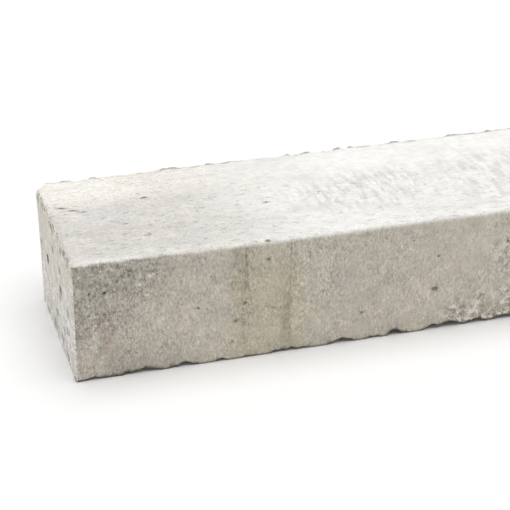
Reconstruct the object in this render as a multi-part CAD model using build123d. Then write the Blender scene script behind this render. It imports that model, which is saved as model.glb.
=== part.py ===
from build123d import *
import os

# Prestressed concrete lintel, lying as it is built in: the trowelled face up, the soffit down.
# It is cast round two straight high-tensile wires in a long steel mould, which leaves drafted sides,
# a hand-finished top arris and a moulded bottom arris. It is sawn to length, so the wires' cut ends
# lie flush in both end faces. Small chips are broken out of its bottom arrises and one corner is worn.
# Units are millimetres. +X runs along the lintel, +Y from its front face to its rear face, +Z up.
# The origin is at the centre of the soffit.

# Section and length
lintel_length = 900.0
top_width = 100.0
soffit_width = 92.0
lintel_height = 65.0

# Arrises
top_arris_radius = 2.5
bottom_arris_radius = 1.5

# Wires
wire_diameter = 5.0
wire_height = 35.0
front_wire_from_front = 36.0
rear_wire_from_rear = 27.0

# Chips broken out of the bottom arrises as the lintel left its mould. Each has its place as a share
# of the length, from the left end, and its size as a share of the largest chip.
chip_length = 7.0
chip_depth = 2.4
front_chip_place_shares = (0.0283, 0.114, 0.1222, 0.1831, 0.2174, 0.392, 0.561, 0.648, 0.823, 0.957)
front_chip_size_shares = (0.7, 0.45, 0.8, 1.0, 0.7, 0.8, 0.6, 0.95, 0.7, 0.85)
rear_chip_place_shares = (0.061, 0.223, 0.347, 0.502, 0.719, 0.885)
rear_chip_size_shares = (0.8, 0.6, 0.95, 0.7, 0.9, 0.65)

# The worn corner, at the left end's rear top
worn_corner_length = 14.0
worn_corner_depth = 4.0


def drafted_section():
    """The section across the lintel: wider at the trowelled face, narrower at the soffit."""
    half_top = top_width / 2
    half_soffit = soffit_width / 2
    outline = Polyline(
        (-half_soffit, 0),
        (half_soffit, 0),
        (half_top, lintel_height),
        (-half_top, lintel_height),
        close=True,
    )
    section = make_face(outline)
    section = fillet(section.vertices().group_by(Axis.Y)[0], bottom_arris_radius)
    return fillet(section.vertices().group_by(Axis.Y)[-1], top_arris_radius)


def along_length(section):
    """A section drawn in Y and Z, run the whole length between the two sawn ends."""
    left_end = Plane(origin=(-lintel_length / 2, 0, 0), x_dir=(0, 1, 0), z_dir=(1, 0, 0))
    return extrude(left_end * section, amount=lintel_length)


def wire(place_across):
    """One straight wire, cut off flush with both ends."""
    section = Pos(place_across, wire_height) * Circle(wire_diameter / 2)
    return along_length(section)


def scoop(edge_point, outward, length, depth):
    """The round hollow that a chip of that length and depth leaves where it broke off an edge."""
    radius = (length**2 / 4 + depth**2) / (2 * depth)
    return Pos(*(edge_point + outward.normalized() * (radius - depth))) * Sphere(radius)


def bottom_chips(side, place_shares, size_shares):
    """The scoops along one bottom arris; side is -1 at the front and 1 at the rear."""
    outward = Vector(0, side, -1)
    scoops = []
    for place_share, size_share in zip(place_shares, size_shares):
        arris = Vector(lintel_length * (place_share - 0.5), side * soffit_width / 2, 0)
        scoops.append(scoop(arris, outward, chip_length * size_share, chip_depth * size_share))
    return scoops


def worn_corner():
    """The scoop at the left end's rear top corner."""
    corner = Vector(-lintel_length / 2, top_width / 2, lintel_height)
    return scoop(corner, Vector(-1, 1, 1), worn_corner_length, worn_corner_depth)


def concrete_body(wires):
    """The casting, with the beds of its wires, the chips in its bottom arrises and its worn corner."""
    body = along_length(drafted_section())
    for bed in wires:
        body -= bed
    for chip in bottom_chips(-1, front_chip_place_shares, front_chip_size_shares):
        body -= chip
    for chip in bottom_chips(1, rear_chip_place_shares, rear_chip_size_shares):
        body -= chip
    return body - worn_corner()


front_wire = wire(front_wire_from_front - top_width / 2)
rear_wire = wire(top_width / 2 - rear_wire_from_rear)
parts = {
    "concrete_body": concrete_body([front_wire, rear_wire]),
    "prestressing_wire_front": front_wire,
    "prestressing_wire_rear": rear_wire,
}

os.makedirs("parts", exist_ok=True)
for name, shape in parts.items():
    export_step(shape, f"parts/{name}.step")
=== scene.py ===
"""Looks of a prestressed concrete lintel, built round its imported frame.

The lintel lies as it is built in, with the trowelled face up and the soffit on the floor. +X runs along
it, +Y from its front face to its rear face and +Z up. The origin is at the centre of the soffit. Lengths are
in metres, and a value in millimetres is multiplied by MM.
"""

import logging
import math
import random
from collections.abc import Callable, Sequence
from dataclasses import dataclass
from enum import Enum
from functools import cached_property
from typing import Any

import bmesh
import bpy
import numpy as np
from mathutils import Matrix, Vector

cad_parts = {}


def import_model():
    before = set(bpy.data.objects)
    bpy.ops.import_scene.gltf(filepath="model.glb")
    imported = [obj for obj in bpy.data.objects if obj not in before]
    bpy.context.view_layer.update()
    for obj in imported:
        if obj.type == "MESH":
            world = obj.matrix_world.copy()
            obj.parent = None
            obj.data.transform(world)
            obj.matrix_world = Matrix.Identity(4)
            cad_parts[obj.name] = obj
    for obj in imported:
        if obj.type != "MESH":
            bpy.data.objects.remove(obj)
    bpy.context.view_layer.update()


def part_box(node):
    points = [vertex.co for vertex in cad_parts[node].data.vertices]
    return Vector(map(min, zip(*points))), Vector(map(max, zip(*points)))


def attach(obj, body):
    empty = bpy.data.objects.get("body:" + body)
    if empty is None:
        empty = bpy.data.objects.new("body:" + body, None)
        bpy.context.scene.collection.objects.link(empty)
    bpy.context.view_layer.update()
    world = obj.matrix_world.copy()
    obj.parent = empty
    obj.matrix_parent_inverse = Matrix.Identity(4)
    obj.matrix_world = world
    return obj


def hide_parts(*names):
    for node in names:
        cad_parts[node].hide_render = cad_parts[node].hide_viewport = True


log = logging.getLogger("lintel")

MM = 0.001
BODY = "root"
BREAK_GRAIN = (1.6, 1.6, 1.6)
CORNER_GRAIN = (2.4, 2.4, 2.4)
ROD_SIDES = 32
TOOTH_SEED = 8
FIN_SEED = 5
HOLE_SEED = 11

Colour = tuple[float, float, float, float]
Named = dict[str, Any] | None


def paint(red: int, green: int, blue: int) -> Colour:
    """Turn a colour as a screen shows it into one that a shader takes.

    Args:
        red: The red part, from 0 to 255.
        green: The green part.
        blue: The blue part.

    Returns:
        The linear colour, with an alpha of 1.
    """
    linear = []
    for part in (red, green, blue):
        share = part / 255
        linear.append(share / 12.92 if share <= 0.04045 else ((share + 0.055) / 1.055) ** 2.4)
    return (linear[0], linear[1], linear[2], 1.0)


class Face(Enum):
    """The faces of the lintel."""

    TOP = "trowelled top"
    SOFFIT = "soffit"
    FRONT = "front"
    REAR = "rear"
    LEFT = "left end"
    RIGHT = "right end"


OUTWARD = {
    Face.TOP: (0, 0, 1),
    Face.SOFFIT: (0, 0, -1),
    Face.FRONT: (0, -1, 0),
    Face.REAR: (0, 1, 0),
    Face.LEFT: (-1, 0, 0),
    Face.RIGHT: (1, 0, 0),
}


class Push(Enum):
    """The ways in which a roughening moves a surface."""

    OUTWARD = "NORMAL"
    UP = "Z"


class Bench:
    """The nodes of one material, or of the world, laid out by code."""

    def __init__(self, owner: bpy.types.Material | bpy.types.World) -> None:
        """Start with no nodes in a material or a world."""
        owner.use_nodes = True
        self.owner = owner
        self.tree = owner.node_tree
        self.tree.nodes.clear()

    @cached_property
    def place(self) -> bpy.types.NodeSocket:
        """The object's own coordinates."""
        return self.node("ShaderNodeTexCoord").outputs["Object"]

    @cached_property
    def axes(self) -> tuple["Shade", ...]:
        """The places along the lintel and across it and the height, in millimetres."""
        split = self.node("ShaderNodeSeparateXYZ", inputs={"Vector": self.scaled(self.place, 1 / MM)})
        return tuple(Shade(self, split.outputs[axis]) for axis in "XYZ")

    def node(self, kind: str, settings: Named = None, inputs: Named = None) -> Any:
        """Add a node.

        Args:
            kind: The node's type.
            settings: Its settings by name, set first.
            inputs: The values or links of its sockets, by identifier or name.

        Returns:
            The new node.
        """
        node = self.tree.nodes.new(kind)
        for name, setting in (settings or {}).items():
            setattr(node, name, setting)
        for name, given in (inputs or {}).items():
            known = {socket.identifier: socket for socket in node.inputs}
            socket = known[name] if name in known else node.inputs[name]
            source = given.socket if isinstance(given, Shade) else given
            if isinstance(source, bpy.types.NodeSocket):
                self.tree.links.new(source, socket)
            else:
                socket.default_value = source
        return node

    def maths(self, operation: str, *terms: "Shade | float") -> "Shade":
        """Add a Math node on one or two numbers."""
        inputs = dict(zip(("Value", "Value_001"), terms))
        return Shade(self, self.node("ShaderNodeMath", {"operation": operation}, inputs).outputs["Value"])

    def scaled(self, vector: Any, factor: "Shade | float") -> bpy.types.NodeSocket:
        """Scale a vector or a colour by a number."""
        inputs = {"Vector": vector, "Scale": factor}
        return self.node("ShaderNodeVectorMath", {"operation": "SCALE"}, inputs).outputs["Vector"]

    def spread(self, grain: Sequence[float], shift: float) -> bpy.types.NodeSocket:
        """Stretch the object's coordinates to a grain.

        Args:
            grain: The pattern's size along X, Y and Z, in millimetres.
            shift: How far the pattern is moved, in centimetres, so that no two patterns are alike.

        Returns:
            The stretched coordinates.
        """
        scale = [size * MM for size in grain]
        place = [part * 10 * MM for part in (shift, shift * 0.7, shift * 1.3)]
        inputs = {"Vector": self.place, "Scale": scale, "Location": place}
        return self.node("ShaderNodeMapping", {"vector_type": "TEXTURE"}, inputs).outputs["Vector"]

    def noise(self, grain: Sequence[float], detail: float, rough: float, shift: float) -> "Shade":
        """Add a cloudy pattern about a half, with so many finer layers of such a strength."""
        inputs = {"Vector": self.spread(grain, shift), "Scale": 1.0, "Detail": detail, "Roughness": rough}
        return Shade(self, self.node("ShaderNodeTexNoise", inputs=inputs).outputs["Fac"])

    def cells(self, grain: Sequence[float], shift: float) -> tuple["Shade", "Shade"]:
        """Add a pattern of scattered points.

        Args:
            grain: The distance between points along X, Y and Z, in millimetres.
            shift: How far the pattern is moved, in centimetres.

        Returns:
            The distance to the nearest point, in grains, and a number that each point has for itself.
        """
        inputs = {"Vector": self.spread(grain, shift), "Scale": 1.0}
        node = self.node("ShaderNodeTexVoronoi", inputs=inputs)
        own = self.node("ShaderNodeSeparateColor", inputs={"Color": node.outputs["Color"]})
        return Shade(self, node.outputs["Distance"]), Shade(self, own.outputs["Red"])

    def own(self, name: str) -> "Shade":
        """Read a number that the mesh itself carries."""
        return Shade(self, self.node("ShaderNodeAttribute", {"attribute_name": name}).outputs["Fac"])

    def surface(self, coat: "Coat", rough: "Shade", heights: "Shade", depth: float, **more: Any) -> Any:
        """Finish a material with its shader.

        Args:
            coat: The base colour.
            rough: The roughness.
            heights: The relief, where 1 is the depth above 0.
            depth: The relief's depth in metres.
            more: What the shader's other sockets take, by name, with _ for a space.

        Returns:
            The material.
        """
        bump = self.node("ShaderNodeBump", inputs={"Strength": 1.0, "Distance": depth, "Height": heights})
        inputs = {"Base Color": coat.colour, "Roughness": rough, "Normal": bump.outputs["Normal"]}
        inputs.update({name.replace("_", " "): given for name, given in more.items()})
        shader = self.node("ShaderNodeBsdfPrincipled", inputs=inputs)
        self.node("ShaderNodeOutputMaterial", inputs={"Surface": shader.outputs["BSDF"]})
        return self.owner


class Shade:
    """A socket that carries a number, with arithmetic that adds Math nodes."""

    def __init__(self, bench: Bench, socket: bpy.types.NodeSocket) -> None:
        """Wrap a socket of a bench."""
        self.bench = bench
        self.socket = socket

    def __add__(self, other: "Shade | float") -> "Shade":
        """Add a number or a socket."""
        return self.bench.maths("ADD", self, other)

    def __sub__(self, other: "Shade | float") -> "Shade":
        """Take a number or a socket away."""
        return self.bench.maths("SUBTRACT", self, other)

    def __rsub__(self, other: float) -> "Shade":
        """Take this away from a number."""
        return self.bench.maths("SUBTRACT", other, self)

    def __mul__(self, other: "Shade | float") -> "Shade":
        """Multiply by a number or a socket."""
        return self.bench.maths("MULTIPLY", self, other)

    def __or__(self, other: "Shade") -> "Shade":
        """Take the larger of two shares."""
        return self.bench.maths("MAXIMUM", self, other)

    def __abs__(self) -> "Shade":
        """Drop the sign."""
        return self.bench.maths("ABSOLUTE", self)

    __radd__ = __add__
    __rmul__ = __mul__

    def ease(self, low: "Shade | float", high: float) -> "Shade":
        """Turn the number into a share that eases from 0 at low to 1 at high.

        Args:
            low: Where the share is 0. It may be more than high.
            high: Where the share is 1.

        Returns:
            The share.
        """
        settings = {"interpolation_type": "SMOOTHSTEP"}
        inputs = {"Value": self, "From Min": low, "From Max": high}
        return Shade(self.bench, self.bench.node("ShaderNodeMapRange", settings, inputs).outputs["Result"])

    def near(self, centre: float, full: float, none: float) -> "Shade":
        """Give a share that is 1 within a distance of a centre and eases to 0 at a second distance."""
        return abs(self - centre).ease(none, full)

    def towards(self, other: "Shade", share: "Shade") -> "Shade":
        """Mix this number with another, which has the given share."""
        return self * (1 - share) + other * share

    def hypot(self, other: "Shade") -> "Shade":
        """Give the distance whose two parts are this and another number."""
        return self.bench.maths("SQRT", self * self + other * other)


class Coat:
    """The colour of a surface, built up layer by layer."""

    def __init__(self, bench: Bench, colour: Colour) -> None:
        """Start with one colour all over."""
        self.bench = bench
        self.colour: Any = colour

    def lay(self, share: Shade, over: "Colour | Coat") -> None:
        """Lay a colour on top.

        Args:
            share: How much of it shows.
            over: The colour, or another coat.
        """
        settings = {"data_type": "RGBA", "blend_type": "MIX", "clamp_factor": True}
        top = over.colour if isinstance(over, Coat) else over
        inputs = {"Factor_Float": share, "A_Color": self.colour, "B_Color": top}
        node = self.bench.node("ShaderNodeMix", settings, inputs)
        self.colour = next(socket for socket in node.outputs if socket.identifier == "Result_Color")

    def scale(self, factor: Shade) -> None:
        """Scale the colour by a number."""
        self.colour = self.bench.scaled(self.colour, factor)


@dataclass(frozen=True)
class Stroke:
    """A thin faded line on a face, in millimetres.

    Attributes:
        start: Where it starts, in the face's two coordinates.
        end: Where it ends.
        width: Half its width, where it has faded away.
        share: How strongly it shows in the middle.
    """

    start: tuple[float, float]
    end: tuple[float, float]
    width: float
    share: float

    def mask(self, first: Shade, second: Shade) -> Shade:
        """Give the share of the line.

        Args:
            first: The face's first coordinate, in millimetres.
            second: Its second coordinate.

        Returns:
            The share.
        """
        run = (self.end[0] - self.start[0], self.end[1] - self.start[1])
        length = math.hypot(*run)
        unit = (run[0] / length, run[1] / length)
        first = first - (self.start[0] + self.end[0]) / 2
        second = second - (self.start[1] + self.end[1]) / 2
        down_line = abs(first * unit[0] + second * unit[1])
        off_line = abs(second * unit[0] - first * unit[1])
        narrow = off_line.ease(self.width, self.width * 0.3)
        return narrow * down_line.ease(length / 2, length / 2 - 2 * self.width) * self.share


@dataclass(frozen=True)
class Stone:
    """A dark stone that the saw cut through, in millimetres.

    Attributes:
        across: Its place across the lintel.
        height: Its height.
        reach: Half its width.
        rise: Half its own height.
    """

    across: float
    height: float
    reach: float
    rise: float


@dataclass(frozen=True)
class ConcreteFinish:
    """Cast concrete: sandy on the moulded faces, milky where trowelled, with cut stones on the ends."""

    length: float
    height: float
    wire_places: tuple[float, ...]
    wire_height: float
    warm: Colour = paint(203, 196, 182)
    cool: Colour = paint(199, 192, 180)
    rosy: Colour = paint(204, 194, 181)
    weathered: Colour = paint(166, 162, 150)
    damp: Colour = paint(197, 189, 167)
    green_run: Colour = paint(154, 147, 122)
    line: Colour = paint(112, 106, 88)
    crumb: Colour = paint(240, 233, 221)
    clay: Colour = paint(186, 170, 157)
    # Painted shade in small gaps, under lumps and in pores.
    hollow: Colour = paint(116, 110, 99)
    # Painted shade in the cut hollows and under the worn foot.
    recess_shade: Colour = paint(82, 72, 62)
    # Painted contact shadow along the bottom edge.
    foot_shadow: Colour = paint(110, 103, 92)
    milky: Colour = paint(246, 245, 241)
    slurry: Colour = paint(213, 210, 205)
    scratch: Colour = paint(168, 164, 156)
    # The torn mortar's grey, with painted shade on the upright sides of the fins.
    cream: Colour = paint(241, 232, 220)
    torn: Colour = paint(140, 133, 123)
    # Partly painted light: paler than the sawn concrete alone, making up for the lamp that hardly reaches the
    # ends.
    matrix: Colour = paint(230, 227, 221)
    buff: Colour = paint(230, 222, 206)
    grit: Colour = paint(212, 209, 202)
    nick: Colour = paint(120, 118, 112)
    dark_stone: Colour = paint(132, 134, 134)
    tan_stone: Colour = paint(208, 192, 166)
    rust: Colour = paint(204, 168, 128)
    batten_lines: tuple[Stroke, ...] = (
        Stroke((-364.4, 65.0), (-364.0, 38.0), 1.5, 0.42),
        Stroke((-341.3, 63.0), (-341.8, 30.0), 0.8, 0.28),
        Stroke((-392.0, 33.0), (-383.0, 31.0), 0.6, 0.24),
        Stroke((-390.0, 29.4), (-378.0, 28.6), 0.5, 0.20),
        Stroke((-357.5, 29.0), (-346.5, 25.6), 0.7, 0.28),
    )
    droplets: tuple[Stroke, ...] = (
        Stroke((-419.8, 49.9), (-414.6, 49.9), 1.3, 0.7),
        Stroke((-414.4, 54.6), (-410.0, 54.6), 1.1, 0.7),
        Stroke((-415.4, 44.2), (-412.6, 44.2), 0.7, 0.7),
    )
    beige_streak: Stroke = Stroke((-441.0, 42.0), (-439.6, 14.0), 2.6, 0.30)
    pink_streak: Stroke = Stroke((-434.0, 40.0), (-431.5, 6.0), 6.0, 0.45)
    drag_lines: tuple[Stroke, ...] = (
        Stroke((-446.0, 19.6), (-440.6, 14.6), 0.9, 0.42),
        Stroke((-440.8, 12.8), (-433.0, 10.6), 0.8, 0.42),
        Stroke((-435.5, 8.8), (-428.6, 8.2), 0.7, 0.42),
        Stroke((-426.0, 9.6), (-419.5, 8.4), 0.6, 0.42),
        Stroke((-407.5, 17.8), (-400.5, 17.0), 0.7, 0.42),
    )
    stones: tuple[Stone, ...] = (
        Stone(-33.5, 31.6, 3.4, 3.0),
        Stone(-34.0, 21.5, 2.6, 1.6),
        Stone(-19.0, 14.5, 2.8, 2.0),
        Stone(-12.6, 6.6, 3.6, 2.4),
        Stone(-34.5, 14.6, 2.0, 1.6),
        Stone(10.6, 5.0, 4.0, 2.0),
        Stone(3.1, 14.1, 2.4, 1.6),
        Stone(-26.0, 3.4, 4.4, 2.6),
        Stone(-21.1, 59.6, 2.8, 1.8),
        Stone(2.0, 61.8, 4.0, 1.4),
    )

    def material(self) -> bpy.types.Material:
        """Make the material.

        Returns:
            The material.
        """
        bench = Bench(bpy.data.materials.new("cast_concrete"))
        along, across, up = bench.axes
        coat, relief = self._moulded(bench)
        trowelled, trowelled_relief = self._trowelled(bench)
        sawn, sawn_relief = self._sawn(bench)

        height = self.height / MM
        half = self.length / MM / 2
        edge = up + bench.noise((3.2, 3.2, 3.2), 3.0, 0.6, 3.1) * 2.6 - 1.3
        soft = along.ease(-425, -345) * 1.5
        inland = up.ease(height - 10, height - 7) * abs(across).ease(48.6, 47.8)
        on_top = inland | edge.ease(height - 1.8 - soft, height - 0.3)
        on_end = abs(along).ease(half - 0.9, half - 0.5)
        coat.lay(on_top, trowelled)
        coat.lay(on_end, sawn)
        frayed = bench.noise((9, 5, 5), 4.0, 0.7, 6.9)
        raised = up.ease(height + 0.2, height + 0.6) | frayed.ease(0.47, 0.58) * 0.7
        # Painted shade on the raised fins along the rear top arris, over the torn mortar's own grey.
        lip = (across + frayed * 2).ease(48.4, 50.2) * up.ease(height - 3.0, height - 1.5) * raised
        coat.lay(lip * 0.8, self.torn)
        # Painted shade that the mesh carries, in its hollows and under the worn foot.
        coat.lay(bench.own("hollow"), self.recess_shade)
        relief = relief.towards(trowelled_relief, on_top).towards(sawn_relief, on_end)
        return bench.surface(coat, 0.97 - on_end * 0.12, relief, 0.7 * MM, Specular_IOR_Level=0.25)

    def _moulded(self, bench: Bench) -> tuple[Coat, Shade]:
        """Lay out the front, the rear and the soffit, which the mould formed.

        Args:
            bench: The material's nodes.

        Returns:
            The colour and the relief.
        """
        along, _, up = bench.axes
        coat = Coat(bench, self.warm)
        coat.lay(bench.noise((34, 30, 24), 3.0, 0.55, 1.7).ease(0.42, 0.62), self.cool)
        coat.lay(bench.noise((9, 9, 17), 3.0, 0.6, 5.3).ease(0.54, 0.70) * 0.7, self.rosy)
        pitted, scaly, dashed = self._rough_zones(bench)
        coat.lay(pitted * 0.8, self.weathered)
        self._stain_front(bench, coat)

        smooth = along.ease(-285, -262) * along.ease(-175, -215) * up.ease(26, 36)
        worn = along.ease(-385, -425) * 0.35 + along.ease(-200, -150) * 0.25
        patch = bench.noise((13, 13, 10), 3.0, 0.6, 2.3).ease(0.38, 0.62)
        coarse = 0.72 + patch * 0.6 + worn + pitted * 0.35 + scaly * 0.8 + dashed * 0.3 - smooth * 0.26
        mottle = bench.noise((5.5, 5.5, 8), 4.0, 0.6, 4.4) - 0.5
        blot = bench.noise((1.5, 1.5, 2.4), 1.5, 0.6, 9.3) - 0.5
        worm = bench.noise((0.85, 0.85, 1.9), 1.0, 0.6, 3.7) - 0.5
        sand = bench.noise((0.55, 0.55, 0.6), 1.0, 0.6, 6.1) - 0.5
        dull = up.ease(14, 30) * along.ease(-390, -365) * along.ease(-262, -300)
        shade = dull * 0.045 + along.ease(-395, -428) * 0.04
        coat.scale(0.972 - shade + mottle * 0.54 + (blot * 0.48 + worm * 0.74 + sand * 0.60) * coarse)

        lumps = bench.noise((3.6, 3.6, 3.6), 3.0, 0.62, 1.2)
        lump = lumps.ease(0.50, 0.56) * (0.05 + scaly * 0.9 + pitted * 0.22)
        coat.lay(lump, self.crumb)
        # Painted shade under and between the scaly lumps.
        coat.lay(lumps.ease(0.45, 0.38) * scaly * 0.5, self.hollow)
        gaps = bench.noise((1.2, 1.2, 1.5), 2.0, 0.65, 2.8)
        crumbs, crumb_own = bench.cells((3.3, 3.3, 3.3), 4.9)
        crumb = (crumbs + gaps * 1.1).ease(0.86, 0.74) * crumb_own.ease(0.54, 0.60)
        crumb = crumb * (pitted * 0.52 + scaly * 0.6)
        coat.lay(crumb, self.crumb)
        worn_line = along.near(-363.5, 1.5, 5.0) * up.ease(10, 22) * up.ease(50, 38) * 0.35
        gap = gaps.ease(0.43, 0.34) * (0.05 + scaly * 0.45 + pitted * 0.4 + worn_line)
        # Painted shade in the small gaps and pits.
        coat.lay(gap, self.hollow)
        pores, pore_own = bench.cells((5.2, 5.2, 5.2), 7.7)
        pore = (pores + gaps * 0.12).ease(0.17, 0.11) * pore_own.ease(0.80, 0.84)
        # Painted shade in small pores.
        coat.lay(pore * 0.6, self.hollow)
        # Painted contact shadow along the bottom edge, just above the floor.
        coat.lay(up.ease(1.5, 0.6) * 0.7, self.foot_shadow)
        lumpy = lump * 0.9 + crumb * 0.6 - gap * 0.8 - pore * 0.8
        return coat, 0.6 + blot * 0.5 + worm * 0.42 + sand * 0.3 + mottle * 0.5 + lumpy

    @staticmethod
    def _rough_zones(bench: Bench) -> tuple[Shade, Shade, Shade]:
        """Say where the moulded faces are pitted, where they are scaly and where they have upright dashes.

        Args:
            bench: The material's nodes.

        Returns:
            The shares of pits, of scale and of dashes.
        """
        along, _, up = bench.axes
        cloud = bench.noise((16, 20, 12), 4.0, 0.62, 8.2) - 0.5
        shoulder = (along + cloud * 90).ease(-376, -422) * (up + cloud * 50).ease(32, 56)
        corner = (along + cloud * 50).ease(-410, -444) * (up + cloud * 30).ease(8, 36)
        rest = bench.noise((90, 60, 40), 3.0, 0.5, 0.6).ease(0.56, 0.70) * along.ease(-200, -160)
        low = (up + cloud * 30).ease(22, 9)
        right = (along + cloud * 16).near(-213, 38, 52)
        beyond = bench.noise((70, 50, 60), 2.0, 0.5, 5.9).ease(0.50, 0.62) * along.ease(-190, -150)
        upper = (along + cloud * 12).near(-228, 3, 9) * (up + cloud * 10).near(38, 8, 15)
        dashed = (along + cloud * 12).near(-328, 8, 18) * (up + cloud * 30).ease(24, 40)
        return shoulder | corner | rest * 0.8, low * (right | beyond) | upper * 0.45, dashed

    def _stain_front(self, bench: Bench, coat: Coat) -> None:
        """Lay the upright mark of a stacking batten and a few stains on the front face.

        Args:
            bench: The material's nodes.
            coat: The face's colour.
        """
        along, across, up = bench.axes
        wander = bench.noise((6, 40, 11), 3.0, 0.6, 2.2) * 4.0 - 2.0
        patchy = bench.noise((4, 20, 7), 4.0, 0.65, 7.1).ease(0.34, 0.60)
        front = across.ease(-30, -38)
        place = along + wander
        panel = place.near(-352.0, 14.0, 24.0) * (0.62 - up.ease(40, 58) * 0.26)
        halo = place.near(-367.5, 2.0, 7.0) * patchy * up.ease(20, 46) * 0.40
        smudge = place.near(-343.4, 1.4, 4.2) * up.ease(40, 32) * up.ease(1, 12) * (0.35 + patchy * 0.35)
        for share, colour in ((panel, self.damp), (halo, self.green_run), (smudge, self.green_run)):
            coat.lay(front * share, colour)
        for stroke in self.batten_lines:
            coat.lay(front * stroke.mask(along + wander * 0.3, up) * (0.4 + patchy * 0.6), self.line)
        coat.lay(front * self.beige_streak.mask(place, up), self.crumb)
        coat.lay(front * self.pink_streak.mask(along + wander * 2, up), self.clay)
        aside = along + wander * 3
        dusty = aside.ease(-384, -404) * aside.ease(-442, -432) * (up + wander * 3).ease(26, 12)
        coat.lay(front * dusty * 0.30, self.weathered)
        for droplet in self.droplets:
            coat.lay(front * droplet.mask(along, up + wander * 0.4), self.crumb)

    def _trowelled(self, bench: Bench) -> tuple[Coat, Shade]:
        """Lay out the top, which a trowel closed and left milky.

        Args:
            bench: The material's nodes.

        Returns:
            The colour and the relief.
        """
        along, across, _ = bench.axes
        broad = bench.noise((60, 22, 30), 4.0, 0.6, 4.8)
        left = (along + broad * 90).ease(-270, -350)
        middle = (across + broad * 8).near(-10, 22, 46)
        front = across.ease(0, -20)
        rear = (across + broad * 12).ease(12, 26)
        behind = rear * along.near(-355, 36, 62)
        coat = Coat(bench, self.milky)
        slurry = broad.ease(0.50, 0.72) * 0.28 + left * (0.06 + middle * 0.76) + front * 0.10 + behind * 0.25
        coat.lay(slurry, self.slurry)
        tint = bench.noise((18, 10, 18), 3.0, 0.6, 3.6).ease(0.48, 0.66)
        coat.lay(tint * (0.10 + left * 0.26) + left * rear * 0.25, self.cream)

        drag = bench.noise((9, 1.5, 6), 4.0, 0.65, 1.9) - 0.5
        grain = bench.noise((1.5, 1.3, 1.5), 2.0, 0.7, 5.8) - 0.5
        cloud = bench.noise((6, 4, 6), 3.0, 0.6, 9.9) - 0.5
        calm = 1 - rear * (1 - left) * 0.6
        fine = (drag * 0.22 + grain * (0.32 + left * 0.32)) * calm
        coat.scale(0.985 + left * rear * 0.022 + fine + cloud * 0.36)
        nicks = bench.noise((4.4, 1.4, 3), 3.0, 0.7, 7.7).ease(0.39, 0.31)
        coat.lay(nicks * (0.05 + left * 0.15), self.scratch)
        ripple = bench.noise((3.3, 13, 9), 3.0, 0.62, 4.1)
        first = along.near(-289, 18, 58) * across.near(-5, 8, 38)
        second = along.near(-214, 14, 38) * across.near(-8, 22, 44)
        beyond = bench.noise((60, 60, 60), 2.0, 0.5, 2.6).ease(0.52, 0.64) * along.ease(-180, -140)
        chatter = first | second * 0.8 | beyond * 0.8
        coat.lay(ripple.ease(0.60, 0.32) * chatter * 0.85, self.slurry)
        waver = bench.noise((2.6, 2.6, 2.6), 2.0, 0.5, 8.4) * 2.4 - 1.2
        for stroke in self.drag_lines:
            coat.lay(stroke.mask(along, across + waver) * waver.ease(-0.5, 0.4), self.line)
        return coat, 0.7 + (drag * 0.55 + grain * 0.55 - nicks * 0.4) * calm + ripple * chatter * 0.6

    def _sawn(self, bench: Bench) -> tuple[Coat, Shade]:
        """Lay out the ends, where the saw shows the stones in the concrete.

        Args:
            bench: The material's nodes.

        Returns:
            The colour and the relief.
        """
        along, across, up = bench.axes
        height = self.height / MM
        cloud = bench.noise((9, 9, 9), 3.0, 0.6, 1.3)
        # The end's pale base is partly the sawn concrete's own colour and partly painted light, making up for
        # the lamp that hardly reaches this face.
        coat = Coat(bench, self.matrix)
        coat.lay(cloud.ease(0.35, 0.65), self.grit)
        coat.lay((up + cloud * 30).ease(45, 75) * 0.5, self.buff)
        gravel, gravel_own = bench.cells((9.5, 9.5, 7.0), 2.4)
        ragged = gravel + bench.noise((2.4, 2.4, 2.4), 3.0, 0.65, 4.1) * 0.50 - 0.13
        cobble = ragged.ease(0.46, 0.38)
        coat.lay(cobble * gravel_own.ease(0.78, 0.80) * 0.70, self.dark_stone)
        coat.lay(cobble * gravel_own.ease(0.22, 0.20) * 0.35, self.tan_stone)
        pebbles, pebble_own = bench.cells((3.4, 3.4, 2.6), 5.5)
        pebble = pebbles.ease(0.42, 0.28)
        coat.lay(pebble * pebble_own.ease(0.80, 0.90) * 0.6, self.dark_stone)
        coat.lay(pebble * pebble_own.ease(0.16, 0.12) * 0.28, self.tan_stone)
        left = along.ease(0, -1)
        uneven = bench.noise((3.0, 3.0, 2.0), 2.0, 0.6, 9.5) - 0.5
        for stone in self.stones:
            reach = (across - stone.across) * (1 / stone.reach)
            apart = reach.hypot((up - stone.height) * (1 / stone.rise))
            coat.lay((apart + uneven * 1.6).ease(1.15, 0.75) * left * 0.6, self.dark_stone)
        for wire in self.wire_places:
            apart = (across - wire / MM).hypot(up - self.wire_height / MM)
            coat.lay((apart + cloud * 5).ease(9.0, 4.5) * 0.35, self.rust)
        nicks = bench.noise((5, 5, 2.4), 3.0, 0.7, 4.6).ease(0.50, 0.42)
        arris = (up + cloud * 4).ease(height - 7, height - 1.5)
        coat.lay(nicks * (0.12 + arris * 0.55), self.nick)
        smear = bench.noise((7, 7, 3.5), 3.0, 0.65, 8.1) - 0.5
        sand = bench.noise((1.4, 1.4, 1.1), 3.0, 0.7, 8.8) - 0.5
        low = up.ease(38, 18)
        pale = up.ease(52, 36) * 0.03 + low * 0.02
        coat.scale(1.045 + pale + (sand * 1.3 + smear * 1.0) * (0.88 + low * 0.55))
        return coat, 0.9 + sand * 0.2 - ragged.near(0.42, 0.01, 0.05) * 0.12


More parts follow.
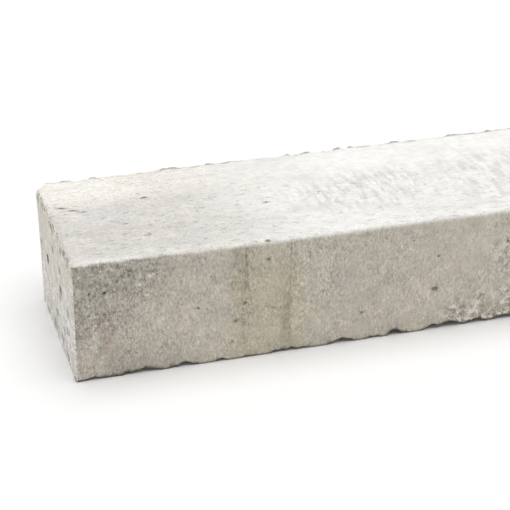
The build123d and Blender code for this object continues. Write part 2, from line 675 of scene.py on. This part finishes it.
@dataclass(frozen=True)
class WireFinish:
    """Drawn steel wire whose cut end has rusted."""

    dark: Colour = paint(74, 61, 53)
    orange: Colour = paint(150, 121, 96)
    bare: Colour = paint(132, 124, 116)

    def material(self) -> bpy.types.Material:
        """Make the material.

        Returns:
            The material.
        """
        bench = Bench(bpy.data.materials.new("rusted_wire"))
        _, across, _ = bench.axes
        cloud = bench.noise((1.6, 1.6, 1.6), 4.0, 0.65, 1.1)
        fleck = bench.noise((0.4, 0.4, 0.4), 2.0, 0.6, 2.7)
        coat = Coat(bench, self.dark)
        coat.lay((cloud + across.ease(5, -5) * 0.14).ease(0.46, 0.64), self.orange)
        shine = fleck.ease(0.66, 0.74)
        coat.lay(shine * 0.5, self.bare)
        relief = 0.5 + cloud * 0.6 + fleck * 0.5
        return bench.surface(coat, 0.85 - shine * 0.4, relief, 0.25 * MM, Metallic=shine * 0.7)


@dataclass(frozen=True)
class FloorFinish:
    """A plain white studio floor that keeps a soft shadow."""

    white: Colour = (0.955, 0.955, 0.955, 1.0)

    def material(self) -> bpy.types.Material:
        """Make the material.

        Returns:
            The material.
        """
        bench = Bench(bpy.data.materials.new("studio_floor"))
        matt = bench.node("ShaderNodeBsdfDiffuse", inputs={"Color": self.white})
        bench.node("ShaderNodeOutputMaterial", inputs={"Surface": matt.outputs["BSDF"]})
        return bench.owner


@dataclass(frozen=True)
class Chip:
    """A chip that broke out of a bottom arris.

    Attributes:
        place_share: Its place as a share of the length, from the left end.
        side: -1 at the front and 1 at the rear.
        size_share: Its size as a share of the largest chip.
        stretch: How much longer it looks than its size says.
    """

    place_share: float
    side: int
    size_share: float
    stretch: float = 1.0


@dataclass(frozen=True)
class Blowhole:
    """An air hole in a face.

    Attributes:
        face: The face that it is in.
        along: Its place in millimetres along the lintel, or across it on an end.
        across: Its height in millimetres on a side or end, or its place across on the top or soffit.
        radius: Its radius in millimetres.
    """

    face: Face
    along: float
    across: float
    radius: float


@dataclass(frozen=True)
class Tear:
    """A tear that the trowel dragged in the top.

    Attributes:
        start: Where it starts, in millimetres along and across the lintel.
        end: Where it ends.
        width: Its width in millimetres.
        depth: Its depth in millimetres.
    """

    start: tuple[float, float]
    end: tuple[float, float]
    width: float
    depth: float


@dataclass(frozen=True)
class Hollow:
    """A rounded hollow in a surface, whatever left it.

    Attributes:
        centre: Its centre.
        radii: Half its size along its own three axes.
        turn: How far it is turned about the vertical.
        broken: How far its surface is broken up, in metres.
        dark: The share of painted shade that darkens it.
    """

    centre: tuple[float, float, float]
    radii: tuple[float, float, float]
    turn: float = 0.0
    broken: float = 0.0
    dark: float = 0.55

    def cutter(self) -> bpy.types.Object:
        """Model the body that leaves the hollow."""
        turned = (0, 0, self.turn)
        facets = 3 if self.broken else 2
        bpy.ops.mesh.primitive_ico_sphere_add(subdivisions=facets, location=self.centre, rotation=turned)
        body = bpy.context.object
        body.scale = self.radii
        settle(body)
        if self.broken:
            roughen(body, "broken", BREAK_GRAIN, self.broken)
        return body

    def reach(self, points: np.ndarray) -> np.ndarray:
        """Say how far points lie from the centre, where 1 is the hollow's own surface."""
        offset = points - np.array(self.centre)
        lengthways = offset[:, 0] * math.cos(self.turn) + offset[:, 1] * math.sin(self.turn)
        crossways = offset[:, 1] * math.cos(self.turn) - offset[:, 0] * math.sin(self.turn)
        parts = (lengthways / self.radii[0], crossways / self.radii[1], offset[:, 2] / self.radii[2])
        return np.sqrt(sum(part**2 for part in parts))


@dataclass(frozen=True)
class Flash:
    """A torn fin of mortar that stands up along the rear top arris.

    Attributes:
        start: Where it starts along the lintel, in millimetres.
        end: Where it ends.
        height: How far it stands up, in millimetres.
    """

    start: float
    end: float
    height: float


@dataclass(frozen=True)
class Relief:
    """One roughening of the casting by a cloudy pattern.

    Attributes:
        name: Its name.
        where: The vertex group that it works in.
        grain: The pattern's size along X, Y and Z, in millimetres.
        depth: How far it moves the surface from its lowest to its highest, in millimetres.
        layers: How many finer layers the pattern has.
        level: The level of the pattern that stays where it is.
        push: The way in which it moves the surface.
    """

    name: str
    where: str
    grain: tuple[float, float, float]
    depth: float
    layers: int = 2
    level: float = 0.5
    push: Push = Push.OUTWARD


def deselect() -> None:
    """Leave object mode with nothing selected."""
    bpy.ops.object.select_all(action="DESELECT")


def activate(piece: bpy.types.Object) -> None:
    """Select one object alone and make it the active one."""
    deselect()
    piece.select_set(True)
    bpy.context.view_layer.objects.active = piece


def settle(piece: bpy.types.Object) -> None:
    """Put an object's place into its mesh."""
    activate(piece)
    bpy.ops.object.transform_apply(location=True, rotation=True, scale=True)


def join(pieces: Sequence[bpy.types.Object], name: str) -> bpy.types.Object:
    """Join meshes into one.

    Args:
        pieces: The meshes.
        name: The joined object's name.

    Returns:
        The joined object.
    """
    activate(pieces[0])
    for piece in pieces:
        piece.select_set(True)
    bpy.ops.object.join()
    pieces[0].name = name
    settle(pieces[0])
    return pieces[0]


def apply_modifier(piece: bpy.types.Object, kind: str, **settings: Any) -> None:
    """Add a modifier to a piece and apply it.

    Args:
        piece: The piece.
        kind: The modifier's type.
        settings: Its settings by name.
    """
    activate(piece)
    modifier = piece.modifiers.new(kind.lower(), kind)
    for name, setting in settings.items():
        setattr(modifier, name, setting)
    bpy.ops.object.modifier_apply(modifier=modifier.name)


def roughen(piece: bpy.types.Object, name: str, grain: Sequence[float], depth: float, **more: Any) -> None:
    """Move a surface by a cloudy pattern.

    Args:
        piece: The piece.
        name: The pattern's name.
        grain: Its size along X, Y and Z, in millimetres.
        depth: How far it moves the surface from its lowest to its highest, in metres.
        more: The modifier's other settings, and how many finer "layers" the pattern has.
    """
    texture = bpy.data.textures.new(name, "CLOUDS")
    texture.noise_scale = 1.0
    texture.noise_depth = more.pop("layers", 2)
    empty = bpy.data.objects.new("grain", None)
    bpy.context.scene.collection.objects.link(empty)
    empty.scale = [size * MM for size in grain]
    bpy.context.view_layer.update()
    pattern = {"texture": texture, "texture_coords": "OBJECT", "texture_coords_object": empty}
    apply_modifier(piece, "DISPLACE", strength=depth, **pattern, **more)
    bpy.data.objects.remove(empty)


def subtract(piece: bpy.types.Object, cutter: bpy.types.Object) -> None:
    """Cut a mesh, whose shells don't meet, out of a piece and delete it."""
    apply_modifier(piece, "BOOLEAN", operation="DIFFERENCE", solver="EXACT", object=cutter)
    bpy.data.objects.remove(cutter)


def read_vectors(piece: bpy.types.Object, name: str = "co") -> np.ndarray:
    """Read one vector of every vertex, its place or another, into rows."""
    flat = np.empty(len(piece.data.vertices) * 3, np.float32)
    piece.data.vertices.foreach_get(name, flat)
    return flat.reshape(-1, 3)


def add_rod(radius: float, length: float, centre: Sequence[float]) -> bpy.types.Object:
    """Add a round rod that lies along the lintel."""
    size = {"vertices": ROD_SIDES, "radius": radius, "depth": length}
    bpy.ops.mesh.primitive_cylinder_add(**size, location=centre, rotation=(0, math.pi / 2, 0))
    return bpy.context.object


def pick_edges(piece: bpy.types.Object, wanted: Callable[[Vector, Vector], bool]) -> None:
    """Select edges in edit mode by the places of their ends.

    Args:
        piece: The piece, in edit mode.
        wanted: Says of an edge's two ends whether it is selected.
    """
    mesh = bmesh.from_edit_mesh(piece.data)
    for edge in mesh.edges:
        edge.select_set(wanted(edge.verts[0].co, edge.verts[1].co))
    mesh.select_flush_mode()
    bmesh.update_edit_mesh(piece.data)


@dataclass
class CastLintel:
    """The concrete casting: a drafted block, trowelled on top, moulded round its sides and sawn at its ends.

    The sizes up to the grain are in metres, and the lengths after it and the tables are in millimetres.
    """

    length: float
    height: float
    wire_places: tuple[float, ...]
    top_width: float = 100 * MM
    soffit_width: float = 92 * MM
    top_arris: float = 2.5 * MM
    foot_arris: float = 1.5 * MM
    wire_height: float = 35 * MM
    wire_radius: float = 2.5 * MM
    chip_length: float = 7.0 * MM
    chip_depth: float = 2.4 * MM
    corner_length: float = 14.0 * MM
    corner_depth: float = 4.0 * MM
    corner_break: float = 1.6 * MM
    chip_break: float = 0.9 * MM
    hole_break: float = 0.5 * MM
    grain: float = 1.0 * MM
    triangles: int = 168_000
    smooth_below: float = math.radians(50)
    bed_overrun: float = 1.1
    foot_reach: float = 7.0
    smallest_hole: float = 0.45
    broken_above: float = 1.2
    hole_gap: float = 5.0
    wire_gap: float = 7.0
    scattered_from: float = -180.0
    end_gap: float = 12.0
    fin_gaps: tuple[float, float] = (9.0, 26.0)
    fin_lengths: tuple[float, float] = (3.0, 8.0)
    fin_heights: tuple[float, float] = (0.5, 1.3)
    fin_teeth: tuple[float, float] = (0.25, 1.0)
    tooth: float = 1.3
    chips: Sequence[Chip] = (
        Chip(0.0283, -1, 0.7),
        Chip(0.1125, -1, 0.65, 0.8),
        Chip(0.1222, -1, 0.8, 0.6),
        Chip(0.1831, -1, 1.35, 0.75),
        Chip(0.2174, -1, 1.3, 0.75),
        Chip(0.392, -1, 0.8),
        Chip(0.561, -1, 0.6),
        Chip(0.648, -1, 0.95),
        Chip(0.823, -1, 0.7),
        Chip(0.957, -1, 0.85),
        Chip(0.061, 1, 0.8),
        Chip(0.223, 1, 0.6),
        Chip(0.347, 1, 0.95),
        Chip(0.502, 1, 0.7),
        Chip(0.719, 1, 0.9),
        Chip(0.885, 1, 0.65),
    )
    flashes: Sequence[Flash] = (
        Flash(-437.5, -431.0, 0.9),
        Flash(-422.5, -417.5, 0.8),
        Flash(-410.5, -404.5, 0.7),
        Flash(-383.5, -374.5, 0.9),
        Flash(-359.0, -352.5, 0.7),
        Flash(-315.0, -311.5, 1.0),
        Flash(-305.5, -299.0, 0.9),
        Flash(-286.5, -282.5, 1.5),
        Flash(-278.5, -275.0, 1.0),
        Flash(-253.5, -248.5, 1.1),
        Flash(-219.5, -214.0, 1.1),
        Flash(-197.0, -193.0, 1.0),
    )
    blowholes: Sequence[Blowhole] = (
        Blowhole(Face.FRONT, -434.4, 48.2, 0.75),
        Blowhole(Face.FRONT, -441.8, 48.8, 0.5),
        Blowhole(Face.FRONT, -388.2, 32.5, 0.45),
        Blowhole(Face.FRONT, -369.6, 22.1, 0.5),
        Blowhole(Face.FRONT, -371.2, 10.7, 0.45),
        Blowhole(Face.FRONT, -364.9, 31.7, 0.6),
        Blowhole(Face.FRONT, -353.0, 54.6, 0.55),
        Blowhole(Face.FRONT, -303.5, 16.6, 0.5),
        Blowhole(Face.FRONT, -264.5, 24.3, 1.3),
        Blowhole(Face.FRONT, -263.7, 43.1, 0.5),
        Blowhole(Face.FRONT, -226.1, 46.2, 0.55),
        Blowhole(Face.TOP, -399.5, 17.0, 1.0),
        Blowhole(Face.TOP, -415.1, -11.3, 0.55),
        Blowhole(Face.TOP, -406.6, -27.2, 0.5),
        Blowhole(Face.TOP, -341.5, -6.2, 0.8),
    )
    tears: Sequence[Tear] = (
        Tear((-443.4, 17.4), (-441.0, 15.4), 0.9, 0.45),
        Tear((-439.0, 12.4), (-436.6, 11.8), 1.3, 0.55),
        Tear((-433.6, 9.0), (-431.2, 8.6), 0.9, 0.45),
    )
    arris_nicks: Sequence[tuple[float, tuple[float, ...]]] = (
        (-353.6, (1.3, 1.0, 0.8)),
        (117.0, (2.0, 1.2, 1.0)),
    )

    def build(self) -> bpy.types.Object:
        """Model the casting.

        Returns:
            The finished mesh, with its place in it.
        """
        piece = self._block()
        subtract(piece, self._corner_cutter())
        piece.data.remesh_voxel_size = self.grain
        activate(piece)
        bpy.ops.object.voxel_remesh()
        self._weigh(piece)
        for relief in self._reliefs():
            settings = {"layers": relief.layers, "vertex_group": relief.where, "direction": relief.push.value}
            roughen(piece, relief.name, relief.grain, relief.depth * MM, mid_level=relief.level, **settings)
        self._raise_flash(piece)
        self._flatten_foot(piece)
        piece.vertex_groups.clear()
        apply_modifier(piece, "DECIMATE", ratio=self.triangles / (2 * len(piece.data.polygons)))
        hollows = self._hollows(piece)
        places = [(0, across, self.wire_height) for across in self.wire_places]
        beds = [add_rod(self.wire_radius, self.length * self.bed_overrun, place) for place in places]
        subtract(piece, join([*beds, *(hollow.cutter() for hollow in hollows)], "hollow_cutter"))
        self._mark_hollows(piece, hollows)
        activate(piece)
        bpy.ops.object.shade_smooth_by_angle(angle=self.smooth_below)
        return piece

    def _block(self) -> bpy.types.Object:
        """Model the plain block: drafted towards the soffit, with rounded long arrises."""
        deselect()
        size = (self.length, self.top_width, self.height)
        bpy.ops.mesh.primitive_cube_add(size=1, location=(0, 0, self.height / 2), scale=size)
        piece = bpy.context.object
        piece.name = "cast_lintel"
        settle(piece)
        bpy.ops.object.mode_set(mode="EDIT")
        middle = self.height / 2
        pick_edges(piece, lambda a, b: a.z < middle and b.z < middle)
        draft = (1, self.soffit_width / self.top_width, 1)
        bpy.ops.transform.resize(value=draft, center_override=(0, 0, 0))
        for radius, on_top in ((self.top_arris, True), (self.foot_arris, False)):
            pick_edges(piece, lambda a, b: self._is_long_arris(a, b, on_top))
            bpy.ops.mesh.bevel(offset=radius, segments=4, affect="EDGES")
        bpy.ops.object.mode_set(mode="OBJECT")
        return piece

    def _is_long_arris(self, first: Vector, second: Vector, on_top: bool) -> bool:
        """Say whether an edge is one of the two long arrises at the top, or else at the soffit."""
        level = self.height if on_top else 0.0
        runs_along = abs(first.x - second.x) > self.length / 2
        return runs_along and abs(first.z - level) < 0.1 * MM and abs(second.z - level) < 0.1 * MM

    def _corner_cutter(self) -> bpy.types.Object:
        """Model what is missing from the worn corner, as a ball with a broken surface."""
        corner = Vector((-self.length / 2, self.top_width / 2, self.height))
        radius = (self.corner_length**2 / 4 + self.corner_depth**2) / (2 * self.corner_depth)
        centre = corner + Vector((-1, 1, 1)).normalized() * (radius - self.corner_depth)
        bpy.ops.mesh.primitive_ico_sphere_add(subdivisions=4, radius=radius, location=centre)
        ball = bpy.context.object
        roughen(ball, "broken", CORNER_GRAIN, self.corner_break)
        return ball

    def _reliefs(self) -> tuple[Relief, ...]:
        """Give the roughenings, the broadest first."""
        return (
            Relief("sway", "all", (80, 45, 40), 0.9, 2),
            Relief("mould_wave", "moulded", (14, 14, 11), 0.45, 2),
            Relief("mould_sand", "moulded", (3.2, 3.2, 3.2), 0.32, 3),
            Relief("scale", "scaly", (3.6, 3.6, 3.6), 1.2, 3, 0.55),
            Relief("float_wave", "trowelled", (34, 13, 20), 0.7, 2),
            Relief("drag", "trowelled", (17, 2.8, 9), 0.5, 2),
            Relief("chatter", "chatter", (3.4, 15, 9), 1.0, 1),
            Relief("foot_wave", "foot", (10, 8, 8), 8.0, 3, 0.45, Push.UP),
            Relief("foot_lift", "worn_foot", (9, 9, 9), 1.6, 2, -0.4, Push.UP),
            Relief("rear_wave", "rear_arris", (6, 6, 6), 1.1, 3, 0.45, Push.UP),
            Relief("front_wave", "front_arris", (7, 7, 7), 0.4, 3, 0.5, Push.UP),
            Relief("saw", "sawn", (5, 5, 5), 0.16, 2),
            Relief("breakout", "saw_arris", (4.5, 4.5, 4.5), 2.0, 3, 0.60),
        )

    def _weigh(self, piece: bpy.types.Object) -> None:
        """Give the vertices their weights in each group, by their place.

        Args:
            piece: The remeshed casting.
        """
        x, y, z = read_vectors(piece).T / MM
        half = self.length / MM / 2
        height = self.height / MM
        side = np.abs(y) - self._half_width(z)
        inland = np.clip((half - np.abs(x)) / 2.0, 0, 1)
        on_top = self._near(z, height, 1.2, 3.0)
        on_side = self._near(side, 0, 1.2, 3.0)
        low = np.clip(1 - z / self.foot_reach, 0, 1) ** 1.5
        by_side = self._near(side, 0, 2.0, self.foot_reach)
        groups = {
            "all": np.ones_like(x),
            "trowelled": on_top * inland,
            "moulded": np.maximum(on_side, self._near(z, 0, 1.0, 2.5)) * inland,
            "sawn": self._near(np.abs(x), half, 0.6, 1.2),
            "foot": low * by_side,
            "worn_foot": self._worn_foot(x) * low * by_side,
            "rear_arris": self._near(z, height, 1.0, 3.5) * self._near(y, 50.0, 1.5, 4.0),
            "front_arris": self._near(z, height, 1.0, 4.0) * self._near(y, -50.0, 1.5, 5.0),
            "chatter": self._chatter(x, y) * on_top,
            "scaly": self._scaly(x, z) * on_side * inland,
            "saw_arris": self._near(np.abs(x), half, 1.0, 3.0) * self._near(z, height, 1.0, 3.0),
        }
        for name, weights in groups.items():
            self._add_group(piece, name, weights)

    def _half_width(self, height: np.ndarray) -> np.ndarray:
        """Give half the casting's width in millimetres at heights in millimetres."""
        share = height / (self.height / MM)
        return (self.soffit_width + (self.top_width - self.soffit_width) * share) / MM / 2

    @staticmethod
    def _near(value: np.ndarray, target: float, full: float, none: float) -> np.ndarray:
        """Give a share that is 1 within a distance of a value and eases to 0 at a second distance."""
        share = np.clip((none - np.abs(value - target)) / (none - full), 0, 1)
        return share * share * (3 - 2 * share)

    def _chatter(self, along: np.ndarray, across: np.ndarray) -> np.ndarray:
        """Give the weights of the trowel's chatter marks: clear in two patches and faint at intervals."""
        first = self._near(along, -289, 30, 48) * self._near(across, -5, 18, 34)
        second = self._near(along, -212, 12, 24) * self._near(across, 6, 22, 38)
        rest = np.clip(np.sin(along / 47.0) * 1.6 - 0.7, 0, 1) * self._near(across, 0, 20, 40) * 0.6
        rest = rest * np.clip((along + 190) / 20, 0, 1)
        return np.maximum(np.maximum(first, second), rest)

    def _scaly(self, along: np.ndarray, height: np.ndarray) -> np.ndarray:
        """Give the weights of the rough scaly patches low on the sides."""
        low = self._near(height, 10, 12, 26)
        first = self._near(along, -226, 30, 46)
        rest = np.clip(np.sin(along / 61.0 + 0.7) * 1.8 - 0.9, 0, 1) * np.clip((along + 180) / 30, 0, 1)
        return np.maximum(first, rest) * low

    def _worn_foot(self, along: np.ndarray) -> np.ndarray:
        """Give the weights of the stretches where the long bottom arrises are worn back."""
        first = self._near(along, -255, 60, 88)
        rest = np.clip(np.sin(along / 53.0 + 0.4) * 1.6 - 0.6, 0, 1) * np.clip((along + 175) / 30, 0, 1)
        return np.maximum(first, rest)

    @staticmethod
    def _add_group(piece: bpy.types.Object, name: str, weights: np.ndarray, levels: int = 24) -> None:
        """Add a vertex group.

        Args:
            piece: The casting.
            name: The group's name.
            weights: The weight of each vertex, from 0 to 1.
            levels: How many steps the weights are rounded to.
        """
        group = piece.vertex_groups.new(name=name)
        steps = np.rint(weights * levels).astype(int)
        for step in range(1, levels + 1):
            group.add(np.flatnonzero(steps == step).tolist(), step / levels, "REPLACE")

    def _raise_flash(self, piece: bpy.types.Object) -> None:
        """Raise the torn fins along the rear top arris.

        Args:
            piece: The casting.
        """
        x, y, z = read_vectors(piece).T / MM
        half = self.length / MM / 2
        tallest = max(flash.height for flash in self.flashes)
        raised = np.zeros_like(x)
        for flash in [*self.flashes, *self._more_flashes()]:
            middle = (flash.start + flash.end) / 2
            reach = (flash.end - flash.start) / 2
            fin = self._near(x, middle, reach * 0.6, reach + 0.8) * flash.height / tallest
            raised = np.maximum(raised, fin)
        scatter = np.random.default_rng(TOOTH_SEED)
        steps = np.arange(-half, half + 1, self.tooth)
        raised *= np.interp(x, steps, scatter.uniform(*self.fin_teeth, len(steps)))
        lip = self._near(y, 49.3, 0.6, 1.5) * np.clip((z - 61.5) / 1.5, 0, 1)
        self._add_group(piece, "flash", raised * lip)
        settings = {"vertex_group": "flash", "direction": Push.UP.value, "strength": tallest * MM}
        apply_modifier(piece, "DISPLACE", mid_level=0, **settings)

    @staticmethod
    def _flatten_foot(piece: bpy.types.Object) -> None:
        """Press flat whatever hangs below the soffit."""
        activate(piece)
        bpy.ops.object.mode_set(mode="EDIT")
        bpy.ops.mesh.select_mode(type="VERT")
        mesh = bmesh.from_edit_mesh(piece.data)
        for vertex in mesh.verts:
            vertex.select_set(vertex.co.z < 0)
        mesh.select_flush_mode()
        bmesh.update_edit_mesh(piece.data)
        bpy.ops.transform.resize(value=(1, 1, 0), center_override=(0, 0, 0))
        bpy.ops.object.mode_set(mode="OBJECT")

    def _more_flashes(self) -> list[Flash]:
        """Scatter fins along the part of the rear arris that has none listed."""
        scatter = random.Random(FIN_SEED)
        flashes = []
        place = self.scattered_from
        while place < self.length / MM / 2 - self.end_gap:
            place += scatter.uniform(*self.fin_gaps)
            reach = scatter.uniform(*self.fin_lengths)
            flashes.append(Flash(place, place + reach, scatter.uniform(*self.fin_heights)))
            place += reach
        return flashes

    def _hollows(self, piece: bpy.types.Object) -> list[Hollow]:
        """List the air holes, the tears and the chips in a casting.

        Args:
            piece: The casting, whose surface they start from.

        Returns:
            The hollows.
        """
        hollows = []
        for hole in [*self.blowholes, *self._more_blowholes()]:
            centre = self._on_surface(piece, hole.face, hole.along, hole.across)
            radius = hole.radius * MM
            broken = self.hole_break if hole.radius > self.broken_above else 0.0
            radii = (radius * 1.15, radius, radius * 0.9)
            hollows.append(Hollow(tuple(centre), radii, hole.along, broken, 0.4 if broken else 0.55))
        for tear in self.tears:
            start = self._on_surface(piece, Face.TOP, *tear.start)
            end = self._on_surface(piece, Face.TOP, *tear.end)
            run = end - start
            radii = (run.length / 2, tear.width * MM / 2, tear.depth * MM)
            hollows.append(Hollow(tuple((start + end) / 2), radii, math.atan2(run.y, run.x), self.hole_break))
        for chip in self.chips:
            size = chip.size_share
            arris = (self.length * (chip.place_share - 0.5), chip.side * self.soffit_width / 2, 0.2 * MM)
            reach = self.chip_length / 2 * size * chip.stretch
            radii = (reach, self.chip_depth * 0.7 * size, self.chip_depth * size)
            hollows.append(Hollow(arris, radii, broken=self.chip_break, dark=0.9))
        for along, radii in self.arris_nicks:
            arris = (along * MM, -self.top_width / 2 + 0.5 * MM, self.height - 0.3 * MM)
            radii = tuple(radius * MM for radius in radii)
            hollows.append(Hollow(arris, radii, broken=self.hole_break, dark=0.65))
        return hollows

    @staticmethod
    def _mark_hollows(piece: bpy.types.Object, hollows: Sequence[Hollow]) -> None:
        """Leave on each vertex a share of painted shade: in a hollow, and under the worn foot where the
        surface faces down just off the floor.

        Args:
            piece: The casting.
            hollows: Its hollows.
        """
        points = read_vectors(piece)
        height = points[:, 2]
        shares = np.zeros(len(points), np.float32)
        for hollow in hollows:
            fade = 0.35 if hollow.broken else 0.08
            shares = np.maximum(shares, np.clip((1 + fade - hollow.reach(points)) / fade, 0, hollow.dark))
        # Painted shade under the worn foot, where the surface faces down just off the floor.
        facing_down = np.clip((-read_vectors(piece, "normal")[:, 2] - 0.25) / 0.4, 0, 1)
        off_floor = np.clip(height / (0.3 * MM), 0, 1) * (height < 6 * MM)
        shares = np.maximum(shares, facing_down * off_floor * 0.8)
        mark = piece.data.attributes.new("hollow", "FLOAT", "POINT")
        mark.data.foreach_set("value", shares.astype(np.float32))

    def _on_surface(self, piece: bpy.types.Object, face: Face, along: float, across: float) -> Vector:
        """Give the point of a piece's rough surface at a place on a face.

        Args:
            piece: The piece.
            face: The face.
            along: The place in millimetres along the lintel, or across it on an end.
            across: The height on a side or end, or the place across on the top or soffit.

        Returns:
            The point.
        """
        outward = Vector(OUTWARD[face])
        along, across = along * MM, across * MM
        if face in (Face.FRONT, Face.REAR):
            half = float(self._half_width(np.array(across / MM))) * MM
            plain = Vector((along, outward.y * half, across))
        elif face in (Face.TOP, Face.SOFFIT):
            plain = Vector((along, across, self.height if face is Face.TOP else 0))
        else:
            plain = Vector((outward.x * self.length / 2, along, across))
        found, place, _, _ = piece.ray_cast(plain + outward * self.top_arris * 2, -outward)
        return place if found else plain

    def _more_blowholes(self) -> list[Blowhole]:
        """Scatter air holes over the faces, clear of the listed ones and of each other."""
        scatter = random.Random(HOLE_SEED)
        spans = {
            Face.FRONT: (26, (-215, 440), (8, 56), 1.3),
            Face.REAR: (34, (-440, 440), (8, 56), 1.3),
            Face.SOFFIT: (26, (-440, 440), (-38, 38), 1.5),
            Face.TOP: (12, (-320, 440), (-40, 40), 1.0),
            Face.RIGHT: (4, (-40, 40), (8, 56), 0.9),
        }
        holes: list[Blowhole] = []
        for face, (count, reach, band, largest) in spans.items():
            while sum(hole.face is face for hole in holes) < count:
                size = self.smallest_hole + (largest - self.smallest_hole) * scatter.random() ** 3
                hole = Blowhole(face, scatter.uniform(*reach), scatter.uniform(*band), size)
                if self._is_clear(hole, holes):
                    holes.append(hole)
        return holes

    def _is_clear(self, hole: Blowhole, holes: Sequence[Blowhole]) -> bool:
        """Say whether an air hole keeps clear of the others and of the wires."""
        height = self.wire_height / MM
        ends = self.wire_places if hole.face is Face.RIGHT else ()
        if any(math.hypot(hole.along - place / MM, hole.across - height) < self.wire_gap for place in ends):
            return False
        others = [other for other in (*self.blowholes, *holes) if other.face is hole.face]
        gaps = (math.hypot(hole.along - other.along, hole.across - other.across) for other in others)
        return all(gap >= self.hole_gap for gap in gaps)


@dataclass
class CutWire:
    """One of the straight wires cast into the lintel, cut off flush with both ends."""

    name: str
    low: Vector
    high: Vector
    burr: float = 0.12 * MM
    smooth_below: float = math.radians(40)

    def build(self) -> bpy.types.Object:
        """Model the wire.

        Returns:
            The finished mesh, with its place in it.
        """
        deselect()
        size = self.high - self.low
        piece = add_rod(size.z / 2, size.x, (self.low + self.high) / 2)
        piece.name = self.name
        settle(piece)
        bpy.ops.object.mode_set(mode="EDIT")
        pick_edges(piece, lambda a, b: abs(a.x - b.x) < self.burr)
        bpy.ops.mesh.bevel(offset=self.burr, segments=2, affect="EDGES")
        bpy.ops.object.mode_set(mode="OBJECT")
        bpy.ops.object.shade_smooth_by_angle(angle=self.smooth_below)
        return piece


@dataclass
class Studio:
    """A plain white floor, soft light from above and the camera."""

    floor_side: float = 12.0
    floor_drop: float = 0.05 * MM
    lamp_from: tuple[float, float, float] = (0.08, -0.08, 1.0)
    lamp_spread: float = math.radians(60)
    lamp_strength: float = 1.95
    sky: float = 0.45
    white: Colour = (1.0, 1.0, 1.0, 1.0)
    camera_place: tuple[float, float, float] = (-0.55506, -0.72142, 0.39796)
    turn: float = math.radians(-16.185)
    tip: float = math.radians(25.925)
    roll: float = math.radians(-0.432)
    focal_pixels: float = 1610.0
    frame_pixels: float = 510.0
    sensor: float = 36.0
    far: float = 100.0

    def build(self) -> None:
        """Set the floor, the light, the background and the camera, and the way that colours are shown."""
        self._floor()
        self._lamp()
        self._world()
        self._camera()
        bpy.context.scene.view_settings.view_transform = "Standard"

    def _floor(self) -> None:
        """Lay the floor just under the lintel."""
        deselect()
        bpy.ops.mesh.primitive_plane_add(size=self.floor_side, location=(0, 0, -self.floor_drop))
        floor = bpy.context.object
        floor.name = "studio_floor"
        settle(floor)
        floor.data.materials.append(FloorFinish().material())

    def _lamp(self) -> None:
        """Set one broad soft lamp high over the lintel."""
        place = Vector(self.lamp_from)
        aim = place.to_track_quat("Z", "Y").to_euler()
        bpy.ops.object.light_add(type="SUN", location=place, rotation=aim)
        lamp = bpy.context.object
        lamp.name = "overhead_softbox"
        lamp.data.angle = self.lamp_spread
        lamp.data.energy = self.lamp_strength

    def _world(self) -> None:
        """Light softly from all round, and show white where a ray from the camera leaves the scene."""
        world = bpy.data.worlds.new("white_studio")
        bpy.context.scene.world = world
        bench = Bench(world)
        rays = bench.node("ShaderNodeLightPath")
        kinds = ("Is Camera Ray", "Is Glossy Ray", "Is Transmission Ray")
        camera, glossy, through = (Shade(bench, rays.outputs[kind]) for kind in kinds)
        inputs: dict[str, Any] = {"Fac": camera | glossy | through}
        for name, strength in (("Shader", self.sky), ("Shader_001", 1.0)):
            light = bench.node("ShaderNodeBackground", inputs={"Color": self.white, "Strength": strength})
            inputs[name] = light.outputs["Background"]
        mixed = bench.node("ShaderNodeMixShader", inputs=inputs)
        bench.node("ShaderNodeOutputWorld", inputs={"Surface": mixed.outputs["Shader"]})

    def _camera(self) -> None:
        """Set the camera where the lintel's left end fills the frame as in the reference view."""
        deselect()
        aim = Matrix.Rotation(self.turn, 3, "Z") @ Matrix.Rotation(math.pi / 2 - self.tip, 3, "X")
        aim = aim @ Matrix.Rotation(self.roll, 3, "Z")
        bpy.ops.object.camera_add(location=self.camera_place, rotation=aim.to_euler())
        camera = bpy.context.object
        camera.data.sensor_width = self.sensor
        camera.data.lens = self.focal_pixels / self.frame_pixels * self.sensor
        camera.data.clip_end = self.far
        bpy.context.scene.camera = camera


def main() -> None:
    """Build the lintel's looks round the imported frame."""
    logging.basicConfig(level=logging.INFO, format="%(message)s")
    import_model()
    Studio().build()

    low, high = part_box("concrete_body")
    wires = {name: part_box(name) for name in ("prestressing_wire_front", "prestressing_wire_rear")}
    places = tuple((box[0].y + box[1].y) / 2 for box in wires.values())
    casting = CastLintel(length=high.x - low.x, height=high.z - low.z, wire_places=places)
    concrete = casting.build()
    finish = ConcreteFinish(casting.length, casting.height, places, casting.wire_height)
    concrete.data.materials.clear()
    concrete.data.materials.append(finish.material())
    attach(concrete, BODY)
    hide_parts("concrete_body")
    log.info("%s: %d faces", concrete.name, len(concrete.data.polygons))

    rusted = WireFinish().material()
    for node, (wire_low, wire_high) in wires.items():
        wire = CutWire(node.replace("prestressing", "cut"), wire_low, wire_high).build()
        wire.data.materials.append(rusted)
        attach(wire, BODY)
        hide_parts(node)
        log.info("%s: %d faces", wire.name, len(wire.data.polygons))

    bpy.context.view_layer.update()


if __name__ == "__main__":
    main()
